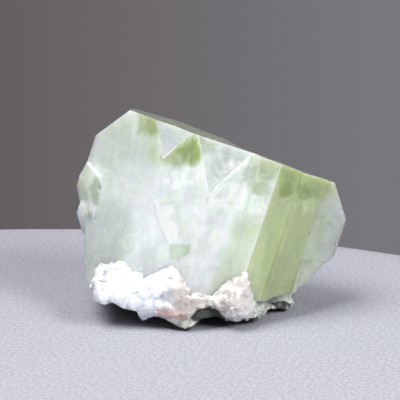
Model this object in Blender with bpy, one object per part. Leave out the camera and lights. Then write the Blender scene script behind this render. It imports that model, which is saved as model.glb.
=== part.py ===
"""Apophyllite cluster: pale green crystals with white stilbite on a piece of dark basalt.

The crystals grew side by side with their long axes parallel, so they are one solid whose
prism faces make a zigzag wall towards the front. Stilbite coats their foot, and all of it
sits on a thin, broken slab of basalt that stands on three flat places.

Lengths are millimetres until each finished piece is scaled to metres. Two working frames
are used: the picture frame (across, away from the viewer, up), and the crystal frame,
which is the picture frame leaned and nodded along the crystals' common axis.
"""
import math

import bmesh
import bpy
from mathutils import Matrix, Vector, noise

OBJECT_NAME = "apophyllite_cluster"
METRES = 0.001
GAP = 0.3
# Moves the finished pieces so that the origin is under the middle of the whole cluster
ORIGIN_SHIFT = (-2.9, 1.8, 0.0)

# Frames
VIEW_DIP = math.radians(12.0)
CENTRE_HEIGHT = 27.5
AXIS_LEAN = math.radians(18.0)
AXIS_NOD = math.radians(5.0)
PICTURE = Matrix.Translation((0, 0, CENTRE_HEIGHT)) @ Matrix.Rotation(-VIEW_DIP, 4, "X")
CRYSTAL = PICTURE @ Matrix.Rotation(AXIS_LEAN, 4, "Y") @ Matrix.Rotation(AXIS_NOD, 4, "X")

# Crystals
PYRAMID_DIP = math.radians(60.4)
SIDE_DIP = math.radians(53.5)
CRYSTAL_ROOT = -48.0
ROOT_STEP = 0.77
INTERFACE_HEIGHT = 6.0
INTERFACE_RELIEF = 1.3
INTERFACE_CELL = 2.0

# A chip has come off the right-hand crystals. Its upper edge runs between these places.
CHIP_LEFT = (25.7, -7.9, -14.9)
CHIP_RIGHT = (32.7, -2.6, -15.6)
CHIP_FACE = (0.575, -0.788, -0.222)
CHIP_REACH = 30.0
CHIP_DEPTH = 0.35

# Basalt slab: its plan is a rough oval, and three places of its underside reach the ground
SLAB_CENTRE = (0.3, -2.6)
SLAB_RADII = (23.3, 19.4)
SLAB_TOP = 8.2
SLAB_TOP_RELIEF = 1.0
SLAB_UNDERSIDE = 3.7
SLAB_DROP = 0.11
SLAB_CELL = 1.8
SLAB_RELIEF = 0.75
GROUND_SIZE = (200.0, 200.0, 40.0)
RIM_SIDES = 64
RIM_ROWS = 9
RIM_ROUGHNESS = 1.4
RIM_BAYS = [
    # direction in plan (degrees), half width (degrees), how far the rim steps in or out
    (-134.0, 34.0, -3.6),
    (-80.0, 9.0, -2.2),
    (-101.0, 10.0, 1.6),
    (-20.0, 26.0, -3.2),
    (80.0, 40.0, -1.5),
]
FEET = [
    # x, y, radius, how far it reaches below the underside
    (-3.7, -20.6, 4.6, 5.4),
    (-14.5, 8.0, 9.0, 7.0),
    (13.5, 7.0, 10.0, 7.0),
]

# Each crystal is a square-cornered prism seen along its diagonal. "front" is its front
# vertical edge as (across, away) in the crystal frame, "right" and "left" are the lengths
# of its two front faces, and "cuts" are the pyramid faces as corner: (depth, dip).
CRYSTALS = [
    dict(front=(-11.4, -18.3), right=30.0, left=26.0, top=16.3,
         cuts={"front": (7.9, PYRAMID_DIP), "left": (9.0, SIDE_DIP), "back": (6.0, PYRAMID_DIP)}),
    dict(front=(1.6, -20.1), right=20.0, left=20.0, top=15.95,
         cuts={"front": (11.8, PYRAMID_DIP)}),
    dict(front=(2.0, -1.0), right=14.0, left=12.0, top=16.1,
         cuts={"back": (4.0, PYRAMID_DIP)}),
    dict(front=(15.8, -20.1), right=8.2, left=10.5, top=15.8, cuts={}),
    dict(front=(21.6, -15.7), right=20.6, left=5.5, top=15.2,
         cuts={"right": (8.6, SIDE_DIP)}),
    dict(front=(28.6, -10.0), right=11.0, left=5.0, top=8.4,
         cuts={"face": (3.0, math.radians(80.0)), "right": (2.6, SIDE_DIP)}),
    dict(front=(33.6, -6.0), right=4.4, left=4.0, top=7.2,
         cuts={"face": (2.0, math.radians(78.0)), "right": (1.8, SIDE_DIP)}),
    dict(front=(14.0, -9.0), right=18.0, left=14.0, top=13.6,
         cuts={"back": (5.0, PYRAMID_DIP), "right": (3.0, PYRAMID_DIP)}),
    dict(front=(24.0, -7.0), right=12.0, left=10.0, top=11.5,
         cuts={"right": (5.0, PYRAMID_DIP), "back": (3.5, PYRAMID_DIP)}),
    dict(front=(-22.0, 0.0), right=15.0, left=9.0, top=6.0,
         cuts={"back": (6.5, PYRAMID_DIP), "left": (4.0, PYRAMID_DIP)}),
    dict(front=(4.0, 6.0), right=12.0, left=8.0, top=4.0,
         cuts={"back": (5.0, PYRAMID_DIP)}),
    dict(front=(-12.0, 10.0), right=10.0, left=7.0, top=-2.0,
         cuts={"back": (5.5, PYRAMID_DIP)}),
]

# Corner directions of a prism in plan, and the two face directions
DIAGONALS = {
    "front": Vector((0, -1, 0)),
    "back": Vector((0, 1, 0)),
    "left": Vector((-1, 0, 0)),
    "right": Vector((1, 0, 0)),
}
RIGHTWARD = Vector((1, 1, 0)).normalized()
LEFTWARD = Vector((-1, 1, 0)).normalized()
FRONT_FACE = Vector((1, -1, 0)).normalized()


def start_scene():
    """Empty the scene and return the collection that holds the object's pieces."""
    for thing in list(bpy.data.objects):
        bpy.data.objects.remove(thing, do_unlink=True)
    parts = bpy.data.collections.new(OBJECT_NAME)
    bpy.context.scene.collection.children.link(parts)
    return parts


def new_object(name, bm):
    """Turn a bmesh into an object that is linked to the scene's own collection."""
    bmesh.ops.triangulate(bm, faces=bm.faces)
    bmesh.ops.recalc_face_normals(bm, faces=bm.faces)
    mesh = bpy.data.meshes.new(name)
    bm.to_mesh(mesh)
    bm.free()
    piece = bpy.data.objects.new(name, mesh)
    bpy.context.scene.collection.objects.link(piece)
    return piece


def combine(target, others, operation):
    """Apply exact Booleans with each of the others to the target, and remove them."""
    for other in others:
        modifier = target.modifiers.new(operation, "BOOLEAN")
        modifier.operation = operation
        modifier.solver = "EXACT"
        modifier.object = other
        graph = bpy.context.evaluated_depsgraph_get()
        mesh = bpy.data.meshes.new_from_object(target.evaluated_get(graph))
        target.modifiers.clear()
        target.data = mesh
        bpy.data.objects.remove(other, do_unlink=True)
    return target


def slice_off(bm, point, normal):
    """Cut away what lies beyond a plane and close the cut with a flat face."""
    geometry = bm.verts[:] + bm.edges[:] + bm.faces[:]
    cut = bmesh.ops.bisect_plane(
        bm, geom=geometry, plane_co=point, plane_no=normal, clear_outer=True)
    rim = [item for item in cut["geom_cut"] if isinstance(item, bmesh.types.BMEdge)]
    if rim:
        bmesh.ops.contextual_create(bm, geom=rim)


def box(size, centre):
    """Return a bmesh box of the given size about a centre."""
    bm = bmesh.new()
    bmesh.ops.create_cube(bm, size=1.0)
    bmesh.ops.scale(bm, vec=size, verts=bm.verts)
    bmesh.ops.translate(bm, vec=centre, verts=bm.verts)
    return bm


def prism(front, right, left, top, cuts, root=CRYSTAL_ROOT, grow=0.0):
    """One crystal: a square-cornered prism with its corners cut by pyramid faces."""
    height = top - root + grow
    bm = box((right + 2 * grow, left + 2 * grow, height), (right / 2, left / 2, height / 2))
    bmesh.ops.rotate(bm, cent=(0, 0, 0), matrix=Matrix.Rotation(math.radians(45.0), 3, "Z"),
                     verts=bm.verts)
    corner = Vector((front[0], front[1], root))
    bmesh.ops.translate(bm, vec=corner, verts=bm.verts)
    corners = {
        "front": Vector((0, 0, 0)),
        "right": RIGHTWARD * right,
        "left": LEFTWARD * left,
        "back": RIGHTWARD * right + LEFTWARD * left,
    }
    for name, (depth, dip) in cuts.items():
        if name == "face":
            outward = FRONT_FACE
            foot = Vector((0, 0, 0))
        else:
            outward = DIAGONALS[name]
            foot = corners[name]
        normal = outward * math.sin(dip) + Vector((0, 0, math.cos(dip)))
        point = Vector((front[0], front[1], top - depth)) + foot + normal * grow
        slice_off(bm, point, normal)
    bm.transform(CRYSTAL)
    return new_object("prism", bm)


def roughness(point, relief, scale, seed):
    """Uneven height of a broken surface at a point: broad waves with sharper bits on top."""
    offset = Vector((seed * 17.3, seed * 5.1, seed * 9.7))
    broad = noise.noise(point / scale + offset)
    fine = noise.noise(point / (scale * 0.38) + offset * 2.0)
    return relief * (broad + 0.45 * fine) * 1.6


def broken_block(frame, width, length, depth, cell, relief, scale, seed, sink=0.0):
    """Block below the plane z = 0 of a frame whose upper side is a rough break."""
    bm = bmesh.new()
    columns = round(width / cell)
    rows = round(length / cell)
    bmesh.ops.create_grid(bm, x_segments=columns, y_segments=rows, size=0.5)
    bmesh.ops.scale(bm, vec=(width, length, 1), verts=bm.verts)
    upper = bm.verts[:]
    faces = bm.faces[:]
    grown = bmesh.ops.extrude_face_region(bm, geom=faces, use_keep_orig=True)
    lower = [item for item in grown["geom"] if isinstance(item, bmesh.types.BMVert)]
    for vertex in lower:
        vertex.co.z = -depth
    for vertex in upper:
        vertex.co.z = roughness(vertex.co, relief, scale, seed) - sink
    bmesh.ops.triangulate(bm, faces=[f for f in bm.faces if len(f.verts) > 3])
    bm.transform(frame)
    return new_object("break", bm)


def facing(point, normal, along=(0, 1, 0)):
    """Frame at a point of the picture frame whose +Z looks against a normal.

    Its +X runs as near to "along" as the plane allows.
    """
    inward = -Vector(normal).normalized()
    side = Vector(along) - inward * inward.dot(Vector(along))
    side.normalize()
    up = inward.cross(side)
    turn = Matrix((side, up, inward)).transposed().to_4x4()
    return PICTURE @ Matrix.Translation(point) @ turn


def crystal_breaks(grow):
    """Cutters that give the cluster its broken sides and underside."""
    underside = broken_block(
        Matrix.Translation((0, 0, INTERFACE_HEIGHT)), 84, 64, 60, INTERFACE_CELL,
        INTERFACE_RELIEF, 8.0, 3, grow)
    left_side = broken_block(
        facing((-28.3, 0, -14), (-1.0, 0.05, -0.04)), 56, 60, 30, 2.6, 0.8, 7.0, 5, grow)
    left_foot = broken_block(
        facing((-25.4, 0, -23.6), (-0.78, 0.0, -0.62)), 60, 60, 20, 2.6, 0.8, 6.0, 6, grow)
    right_foot = broken_block(
        facing((27.6, -5.0, -19.1), (0.54, 0.16, -0.83)), 60, 60, 40, 2.4, 0.6, 5.0, 9, grow)
    chip_along = Vector(CHIP_RIGHT) - Vector(CHIP_LEFT)
    chip_frame = facing(CHIP_LEFT, CHIP_FACE, chip_along)
    chip_centre = Matrix.Translation((CHIP_REACH / 2 - 1.0, CHIP_REACH / 2, CHIP_DEPTH))
    chip = broken_block(
        chip_frame @ chip_centre, CHIP_REACH, CHIP_REACH, 12, 1.6, 0.12, 4.0, 4, grow)
    return [left_side, left_foot, right_foot, chip, underside]


def tilted_crystal(place, lean, nod, turn, width, length, point_dip, grow=0.0):
    """A small crystal with a pyramid tip, set at a place of the picture frame."""
    bm = box((width + 2 * grow, width + 2 * grow, length + grow), (0, 0, -length / 2 + grow / 2))
    for quarter in range(4):
        angle = math.radians(45.0 + 90.0 * quarter)
        outward = Vector((math.cos(angle), math.sin(angle), 0))
        normal = outward * math.sin(point_dip) + Vector((0, 0, math.cos(point_dip)))
        slice_off(bm, Vector((0, 0, grow)) + normal * grow * 0.5, normal)
    spin = Matrix.Rotation(lean, 4, "Y") @ Matrix.Rotation(nod, 4, "X")
    spin = spin @ Matrix.Rotation(turn, 4, "Z")
    bm.transform(PICTURE @ Matrix.Translation(place) @ spin)
    return new_object("small crystal", bm)


SMALL_CRYSTALS = [
    # place of the tip, lean, nod, turn (degrees), width, length
    dict(place=(-27.8, -3.4, 9.8), lean=-11, nod=8, turn=30, width=6.0, length=15.0),
    dict(place=(-25.8, -3.6, 6.6), lean=-14, nod=10, turn=52, width=4.2, length=10.0),
    dict(place=(-29.2, -2.4, 0.9), lean=-16, nod=6, turn=50, width=3.6, length=9.0),
    dict(place=(-28.2, -1.4, -6.0), lean=-30, nod=2, turn=10, width=3.0, length=7.0),
]


def build_crystals(grow=0.0):
    """The whole intergrown crystal mass as one solid, optionally a little oversize."""
    prisms = []
    for number, data in enumerate(CRYSTALS):
        prisms.append(prism(root=CRYSTAL_ROOT - ROOT_STEP * number, grow=grow, **data))
    body = combine(prisms[0], prisms[1:], "UNION")
    combine(body, crystal_breaks(grow), "DIFFERENCE")
    small = []
    for data in SMALL_CRYSTALS:
        small.append(tilted_crystal(
            data["place"], math.radians(data["lean"]), math.radians(data["nod"]),
            math.radians(data["turn"]), data["width"], data["length"],
            math.radians(55.0), grow))
    return combine(body, small, "UNION")


def lump(place, radii, relief, seed, detail=2, grow=0.0):
    """A rounded, knobbly lump at a place of the picture frame."""
    bm = bmesh.new()
    bmesh.ops.create_icosphere(bm, subdivisions=detail, radius=1.0)
    for vertex in bm.verts:
        direction = vertex.co.normalized()
        swell = 1.0 + relief * noise.noise(direction * 2.3 + Vector((seed, 0, seed * 2.0)))
        swell += 0.5 * relief * noise.noise(direction * 5.0 + Vector((0, seed, 0)))
        vertex.co = Vector([direction[i] * (radii[i] * swell + grow) for i in range(3)])
    bm.transform(PICTURE @ Matrix.Translation(place))
    return new_object("lump", bm)


def blade(root, way, across, width, thick, grow=0.0):
    """A flat stilbite blade with a pointed end, from a root along a way."""
    length = way.length + grow
    bm = box((width + 2 * grow, thick + 2 * grow, length), (0, 0, length / 2))
    for side in (-1, 1):
        normal = Vector((side * math.sin(TIP_DIP), 0.0, math.cos(TIP_DIP)))
        slice_off(bm, Vector((0, 0, length + grow * 0.2)), normal)
    up = way.normalized()
    flat = (up.cross(across)).normalized()
    wide = flat.cross(up)
    turn = Matrix((wide, flat, up)).transposed().to_4x4()
    bm.transform(PICTURE @ Matrix.Translation(root) @ turn)
    return new_object("blade", bm)


# Stilbite: lumps as (place, radii), and fans of blades that spread from a root. A fan is
# (root, tip of its middle blade, blades, spread in degrees, blade width).
CRUST_LUMPS = [
    ((-22.8, -9.8, -20.4), (3.2, 3.0, 3.2)),
    ((-19.4, -13.0, -21.0), (4.0, 3.6, 3.6)),
    ((-15.2, -13.4, -23.2), (4.4, 3.8, 3.6)),
    ((-9.6, -13.8, -21.0), (4.0, 3.6, 3.8)),
    ((-5.6, -16.0, -22.8), (3.8, 3.6, 3.4)),
    ((-10.0, -13.5, -25.2), (5.2, 4.2, 2.2)),
    ((-17.6, -11.8, -23.8), (4.0, 4.0, 1.9)),
]
CRUST_FANS = [
    ((-20.8, -9.5, -22.6), (-23.4, -11.8, -17.2), 3, 24, 3.8),
    ((-19.0, -11.5, -23.4), (-20.2, -16.0, -17.4), 3, 20, 5.2),
    ((-15.8, -11.0, -24.6), (-17.6, -18.2, -18.8), 3, 20, 4.8),
    ((-13.0, -9.5, -26.6), (-13.4, -16.0, -21.2), 3, 28, 4.2),
    ((-8.6, -10.0, -26.6), (-9.9, -15.8, -18.2), 4, 30, 3.8),
    ((-6.0, -12.0, -26.6), (-6.6, -18.8, -18.8), 3, 26, 4.0),
    ((-4.5, -11.5, -26.0), (-3.4, -18.8, -22.0), 3, 30, 3.6),
    ((-13.4, -9.5, -22.5), (-14.2, -13.0, -29.6), 3, 14, 3.2),
    ((-17.0, -9.5, -20.0), (-22.8, -11.4, -21.8), 3, 30, 3.2),
    ((-15.6, -10.5, -20.4), (-18.6, -15.2, -22.2), 3, 26, 3.4),
    ((-10.0, -10.0, -22.5), (-10.2, -16.0, -26.4), 3, 34, 4.2),
    ((-6.5, -11.5, -23.0), (-6.2, -17.6, -26.8), 3, 30, 3.8),
]
TUFT_LUMPS = [
    ((8.4, -17.8, -23.2), (3.6, 3.0, 3.8)),
    ((6.2, -16.6, -25.0), (3.6, 3.4, 2.0)),
    ((9.8, -17.0, -25.2), (3.4, 3.2, 2.0)),
]
TUFT_FANS = [
    ((8.6, -15.0, -25.5), (10.2, -21.0, -18.4), 3, 20, 3.8),
    ((9.0, -14.5, -24.0), (3.6, -17.8, -23.6), 3, 28, 3.4),
    ((8.0, -14.5, -24.5), (7.0, -21.8, -21.8), 3, 28, 4.0),
    ((7.5, -14.5, -23.5), (12.4, -19.6, -25.4), 3, 30, 3.2),
    ((8.0, -14.0, -22.0), (9.0, -20.0, -26.6), 3, 30, 3.6),
    ((8.0, -14.0, -22.0), (5.2, -19.4, -26.2), 3, 30, 3.4),
    ((7.5, -15.0, -25.5), (11.2, -21.2, -21.6), 3, 28, 3.4),
]
BLADE_SHARE = 0.42
TIP_DIP = math.radians(36.0)


def stilbite_shapes(lumps, fans, seed, grow=0.0):
    """All lumps and blades of one stilbite piece."""
    shapes = []
    for number, (place, radii) in enumerate(lumps):
        shapes.append(lump(place, radii, 0.22, seed + number * 1.7, 2, grow))
    for number, (root, tip, count, spread, width) in enumerate(fans):
        root = Vector(root)
        reach = Vector(tip) - root
        across = reach.cross(Vector((0, -1, 0.3))).normalized()
        for place in range(count):
            share = place / (count - 1) - 0.5
            twist = 0.32 * math.sin(2.4 * place + 1.3 * number)
            swing = Matrix.Rotation(math.radians(spread) * share, 3, reach.cross(across))
            nod = Matrix.Rotation(twist, 3, across)
            way = nod @ (swing @ reach) * (1.0 - 0.09 * ((place + number) % 3))
            beside = root + across * (share * width * 0.9)
            shapes.append(blade(beside, way, across, width, width * BLADE_SHARE, grow))
    return shapes


def build_stilbite(lumps, fans, seed, neighbours):
    """One stilbite piece: its shapes joined, less the room its neighbours take."""
    shapes = stilbite_shapes(lumps, fans, seed)
    body = combine(shapes[0], shapes[1:], "UNION")
    return combine(body, neighbours, "DIFFERENCE")


def underside_height(x, y):
    """Height of the slab's broken underside, which dips below the ground at its feet."""
    height = SLAB_UNDERSIDE - SLAB_DROP * max(0.0, x)
    height += roughness(Vector((x, y, 0)), SLAB_RELIEF, 6.0, 8)
    for foot_x, foot_y, radius, reach in FEET:
        nearness = max(0.0, 1.0 - math.hypot(x - foot_x, y - foot_y) / radius)
        height -= reach * nearness
    return height


def rim_step(angle):
    """How far bays and spurs move the slab's rim at an angle in plan."""
    step = 0.0
    for direction, half_width, amount in RIM_BAYS:
        apart = math.degrees(angle) - direction
        apart = (apart + 180.0) % 360.0 - 180.0
        nearness = max(0.0, 1.0 - abs(apart) / half_width)
        step += amount * nearness * nearness * (3.0 - 2.0 * nearness)
    return step


def slab_block(grow):
    """A block with a level top whose underside is the broken underside of the slab."""
    bm = bmesh.new()
    width = 2.6 * SLAB_RADII[0]
    length = 2.6 * SLAB_RADII[1]
    bmesh.ops.create_grid(bm, x_segments=round(width / SLAB_CELL),
                          y_segments=round(length / SLAB_CELL), size=0.5)
    bmesh.ops.scale(bm, vec=(width, length, 1), verts=bm.verts)
    bmesh.ops.translate(bm, vec=(SLAB_CENTRE[0], SLAB_CENTRE[1], 0), verts=bm.verts)
    lower = bm.verts[:]
    grown = bmesh.ops.extrude_face_region(bm, geom=bm.faces[:], use_keep_orig=True)
    for item in grown["geom"]:
        if isinstance(item, bmesh.types.BMVert):
            item.co.z = SLAB_TOP + roughness(item.co, SLAB_TOP_RELIEF, 5.0, 11) + grow
    for vertex in lower:
        vertex.co.z = underside_height(vertex.co.x, vertex.co.y) - grow
    return new_object("slab", bm)


def rim_drum(grow):
    """An upright drum with a rough oval plan, which gives the slab its broken rim."""
    bm = bmesh.new()
    depth = SLAB_TOP + 4.0
    bmesh.ops.create_cone(bm, cap_ends=True, segments=RIM_SIDES, radius1=1.0, radius2=1.0,
                          depth=depth)
    bmesh.ops.translate(bm, vec=(0, 0, depth / 2 - 2.5), verts=bm.verts)
    upright = [edge for edge in bm.edges
               if abs(edge.verts[0].co.z - edge.verts[1].co.z) > depth / 2]
    bmesh.ops.subdivide_edges(bm, edges=upright, cuts=RIM_ROWS, use_grid_fill=True)
    for vertex in bm.verts:
        around = Vector((vertex.co.x, vertex.co.y, 0))
        broad = noise.noise(around * 1.9 + Vector((3.0, 7.0, 0)))
        fine = noise.noise(around * 6.5 + Vector((0, 0, vertex.co.z / 2.6)))
        angle = math.atan2(around.y * SLAB_RADII[1], around.x * SLAB_RADII[0])
        reach = RIM_ROUGHNESS * (1.5 * broad + fine) + rim_step(angle) + grow
        vertex.co.x = SLAB_CENTRE[0] + around.x * (SLAB_RADII[0] + reach)
        vertex.co.y = SLAB_CENTRE[1] + around.y * (SLAB_RADII[1] + reach)
    return new_object("rim", bm)


def build_matrix(neighbours, grow=0.0):
    """The basalt: a slab with a broken rim and feet, level underneath, fitted to the rest."""
    body = combine(slab_block(grow), [rim_drum(grow)], "INTERSECT")
    ground = new_object("ground", box(GROUND_SIZE, (0, 0, -GROUND_SIZE[2] / 2 - grow)))
    return combine(body, [ground] + neighbours, "DIFFERENCE")


def keep_largest(bm):
    """Remove every loose crumb that a cut has left beside the main body."""
    remaining = set(bm.faces)
    largest = set()
    while remaining:
        stack = [remaining.pop()]
        island = set(stack)
        while stack:
            face = stack.pop()
            for edge in face.edges:
                for other in edge.link_faces:
                    if other in remaining:
                        remaining.discard(other)
                        island.add(other)
                        stack.append(other)
        if len(island) > len(largest):
            largest = island
    crumbs = [face for face in bm.faces if face not in largest]
    bmesh.ops.delete(bm, geom=crumbs, context="FACES")


def stone_material(name, colour, rough, clear=0.0):
    """A plain shader for a mineral; clear is how much light passes through it."""
    material = bpy.data.materials.new(name)
    material.use_nodes = True
    shader = material.node_tree.nodes["Principled BSDF"]
    shader.inputs["Base Color"].default_value = (*colour, 1.0)
    shader.inputs["Roughness"].default_value = rough
    shader.inputs["Metallic"].default_value = 0.0
    shader.inputs["Transmission Weight"].default_value = clear
    shader.inputs["IOR"].default_value = 1.535
    material.diffuse_color = (*colour, 1.0)
    return material


def finish(piece, name, parts, parent, material):
    """Clean a solid, scale it to metres and file it under its name."""
    bm = bmesh.new()
    bm.from_mesh(piece.data)
    bmesh.ops.remove_doubles(bm, verts=bm.verts, dist=0.004)
    bmesh.ops.triangulate(bm, faces=bm.faces)
    bmesh.ops.dissolve_degenerate(bm, dist=0.003, edges=bm.edges)
    keep_largest(bm)
    bmesh.ops.recalc_face_normals(bm, faces=bm.faces)
    bmesh.ops.translate(bm, vec=ORIGIN_SHIFT, verts=bm.verts)
    bmesh.ops.scale(bm, vec=(METRES, METRES, METRES), verts=bm.verts)
    bm.to_mesh(piece.data)
    bm.free()
    piece.name = name
    piece.data.name = name
    piece.data.materials.clear()
    piece.data.materials.append(material)
    piece.parent = parent
    for owner in list(piece.users_collection):
        owner.objects.unlink(piece)
    parts.objects.link(piece)
    return piece


def main():
    parts = start_scene()
    centre = bpy.data.objects.new(OBJECT_NAME + "_base", None)
    parts.objects.link(centre)

    crystals = build_crystals()
    matrix = build_matrix([build_crystals(GAP)])
    crust = build_stilbite(
        CRUST_LUMPS, CRUST_FANS, 2.0, [build_crystals(GAP), build_matrix([], GAP)])
    tuft = build_stilbite(
        TUFT_LUMPS, TUFT_FANS, 5.0, [build_crystals(GAP), build_matrix([], GAP)])

    pale_green = stone_material("apophyllite", (0.62, 0.72, 0.55), 0.12, 0.5)
    pearly_white = stone_material("stilbite", (0.80, 0.78, 0.76), 0.45)
    dark_stone = stone_material("basalt", (0.16, 0.18, 0.16), 0.85)
    finish(crystals, "apophyllite_crystals", parts, centre, pale_green)
    finish(crust, "stilbite_crust", parts, centre, pearly_white)
    finish(tuft, "stilbite_tuft", parts, centre, pearly_white)
    finish(matrix, "basalt_matrix", parts, centre, dark_stone)


main()
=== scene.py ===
import math

import bmesh
import bpy
import numpy as np
from mathutils import Matrix, Vector, bvhtree, kdtree, noise


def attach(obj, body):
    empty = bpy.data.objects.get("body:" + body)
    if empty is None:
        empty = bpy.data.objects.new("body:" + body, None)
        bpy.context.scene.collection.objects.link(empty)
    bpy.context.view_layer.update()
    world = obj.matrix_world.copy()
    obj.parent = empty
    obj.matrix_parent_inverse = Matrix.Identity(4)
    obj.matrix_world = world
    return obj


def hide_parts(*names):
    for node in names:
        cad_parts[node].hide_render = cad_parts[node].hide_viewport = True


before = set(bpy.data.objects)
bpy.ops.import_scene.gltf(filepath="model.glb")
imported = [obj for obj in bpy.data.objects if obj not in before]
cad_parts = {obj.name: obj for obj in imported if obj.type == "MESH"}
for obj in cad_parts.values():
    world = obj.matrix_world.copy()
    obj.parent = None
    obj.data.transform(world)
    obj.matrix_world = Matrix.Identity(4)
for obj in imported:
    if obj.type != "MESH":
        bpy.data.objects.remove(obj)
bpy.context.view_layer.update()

# The picture frame is across, away from the viewer, up. The crystal frame is the picture
# frame leaned and nodded along the crystals' common axis. Both are in millimetres.
ORIGIN_SHIFT = Vector((-2.9, 1.8, 0.0))
VIEW_DIP = math.radians(12.0)
CENTRE_HEIGHT = 27.5
AXIS_LEAN = math.radians(18.0)
AXIS_NOD = math.radians(5.0)
CAMERA_DISTANCE = 400.0
PIXEL = 0.25
PICTURE = (Matrix.Translation(ORIGIN_SHIFT) @ Matrix.Translation((0, 0, CENTRE_HEIGHT))
           @ Matrix.Rotation(-VIEW_DIP, 4, "X"))
CRYSTAL = PICTURE @ Matrix.Rotation(AXIS_LEAN, 4, "Y") @ Matrix.Rotation(AXIS_NOD, 4, "X")

# Millimetres to a metre, and the middle of the picture in its pixels
MM = 1000.0
MIDDLE = 200.0

# Distances from an edge (mm) are counted up to a reach, from samples along it
EDGE_REACH = 4.0
EDGE_SAMPLE = 0.25


# Mesh tools: a piece is a set of points (mm) and triangles while it is worked on

def add_object(name, data):
    thing = bpy.data.objects.new(name, data)
    bpy.context.scene.collection.objects.link(thing)
    return thing


def read_mesh(mesh, joined=0.0):
    """Points and triangles of a mesh, with points closer than a distance joined."""
    bm = bmesh.new()
    bm.from_mesh(mesh)
    if joined:
        bmesh.ops.remove_doubles(bm, verts=bm.verts, dist=joined)
    bmesh.ops.triangulate(bm, faces=bm.faces)
    bm.verts.index_update()
    points = np.array([v.co for v in bm.verts])
    triangles = np.array([[v.index for v in f.verts] for f in bm.faces])
    bm.free()
    return points, triangles


def read_node(name):
    """Points in mm and triangles of a CAD node."""
    points, triangles = read_mesh(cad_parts[name].data, joined=0.000002)
    return points * MM, triangles


def refine(points, triangles, longest, fine=None, finest=0.0):
    """Split edges at their middles until none is longer than a length.

    Edges of the triangles that "fine" marks are split down to "finest" instead.
    """
    if fine is None:
        fine = np.zeros(len(triangles), bool)
    while True:
        sides = np.concatenate([triangles[:, [0, 1]], triangles[:, [1, 2]], triangles[:, [2, 0]]])
        sides.sort(axis=1)
        edges, place = np.unique(sides, axis=0, return_inverse=True)
        place = place.reshape(3, -1)
        length = np.linalg.norm(points[edges[:, 0]] - points[edges[:, 1]], axis=1)
        limit = np.full(len(edges), longest)
        limit[place[:, fine].reshape(-1)] = finest
        split = length > limit
        if not split.any():
            return points, triangles
        middle = np.full(len(edges), -1)
        middle[split] = len(points) + np.arange(split.sum())
        points = np.vstack([points, points[edges[split]].mean(axis=1)])
        mids = middle[place]
        count = (mids >= 0).sum(axis=0)
        whole = count == 0
        made = [(triangles[whole], fine[whole])]
        three = count == 3
        a, b, c = triangles[three].T
        ab, bc, ca = mids[:, three]
        for trio in ((a, ab, ca), (ab, b, bc), (ca, bc, c), (ab, bc, ca)):
            made.append((np.stack(trio, axis=1), fine[three]))
        for turn in range(3):
            order = [turn, (turn + 1) % 3, (turn + 2) % 3]
            one = (count == 1) & (mids[order[0]] >= 0)
            a, b, c = triangles[one][:, order].T
            ab = mids[order[0], one]
            for trio in ((a, ab, c), (ab, b, c)):
                made.append((np.stack(trio, axis=1), fine[one]))
            two = (count == 2) & (mids[order[2]] < 0)
            a, b, c = triangles[two][:, order].T
            ab = mids[order[0], two]
            bc = mids[order[1], two]
            made.append((np.stack((ab, b, bc), axis=1), fine[two]))
            straight = (np.linalg.norm(points[a] - points[bc], axis=1)
                        < np.linalg.norm(points[ab] - points[c], axis=1))
            for trio, kept in (((a, ab, bc), straight), ((a, bc, c), straight),
                               ((a, ab, c), ~straight), ((ab, bc, c), ~straight)):
                made.append((np.stack(trio, axis=1)[kept], fine[two][kept]))
        triangles, fine = (np.concatenate(both) for both in zip(*made))


def face_normals(points, triangles):
    a, b, c = (points[triangles[:, i]] for i in range(3))
    normals = np.cross(b - a, c - a)
    return normals / np.maximum(np.linalg.norm(normals, axis=1, keepdims=True), 1e-12)


def point_normals(points, triangles):
    """Unit normal at each point, from its triangles by their area."""
    a, b, c = (points[triangles[:, i]] for i in range(3))
    area = np.cross(b - a, c - a)
    total = np.zeros_like(points)
    for i in range(3):
        np.add.at(total, triangles[:, i], area)
    return total / np.maximum(np.linalg.norm(total, axis=1, keepdims=True), 1e-12)


def edge_distance(points, triangles, targets, angle):
    """Distance (mm) of each target from the nearest edge that is sharper than an angle."""
    normals = face_normals(points, triangles)
    owners = {}
    for number, triangle in enumerate(triangles):
        for i in range(3):
            key = tuple(sorted((triangle[i], triangle[(i + 1) % 3])))
            owners.setdefault(key, []).append(number)
    samples = []
    limit = math.cos(math.radians(angle))
    for (start, end), faces in owners.items():
        if len(faces) == 2 and normals[faces[0]] @ normals[faces[1]] < limit:
            length = np.linalg.norm(points[start] - points[end])
            for share in np.linspace(0, 1, max(2, int(length / EDGE_SAMPLE))):
                samples.append(points[start] * (1 - share) + points[end] * share)
    tree = kdtree.KDTree(len(samples))
    for number, sample in enumerate(samples):
        tree.insert(sample, number)
    tree.balance()
    return np.minimum([tree.find(target)[2] for target in targets], EDGE_REACH)


def noise_at(points, scale, seed=0.0, stretch=(1, 1, 1)):
    """Smooth noise of about -1 to 1 at each point, with features of a size in mm."""
    shift = Vector((seed * 13.1, seed * 7.7, seed * 3.3))
    scaled = points / (np.array(stretch) * scale)
    return np.array([noise.noise(Vector(p) + shift) for p in scaled])


def facets_at(points, size, seed=0.0):
    """Height (mm) of small tilted plates of a size in mm, one to a cell of the pattern."""
    heights = []
    shift = Vector((seed * 5.1, seed * 3.7, seed * 9.3))
    for point in points / size:
        place = Vector(point) + shift
        nearest = noise.voronoi(place)[1][0]
        tilt = noise.cell_vector(nearest * 7.0) * 2.0 - Vector((1, 1, 1))  # unlike its neighbours'
        heights.append((place - nearest) @ tilt)
    return np.array(heights) * size


def rise(value, low, high):
    """Smooth step from 0 at low to 1 at high."""
    share = np.clip((value - low) / (high - low), 0, 1)
    return share * share * (3 - 2 * share)


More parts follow.
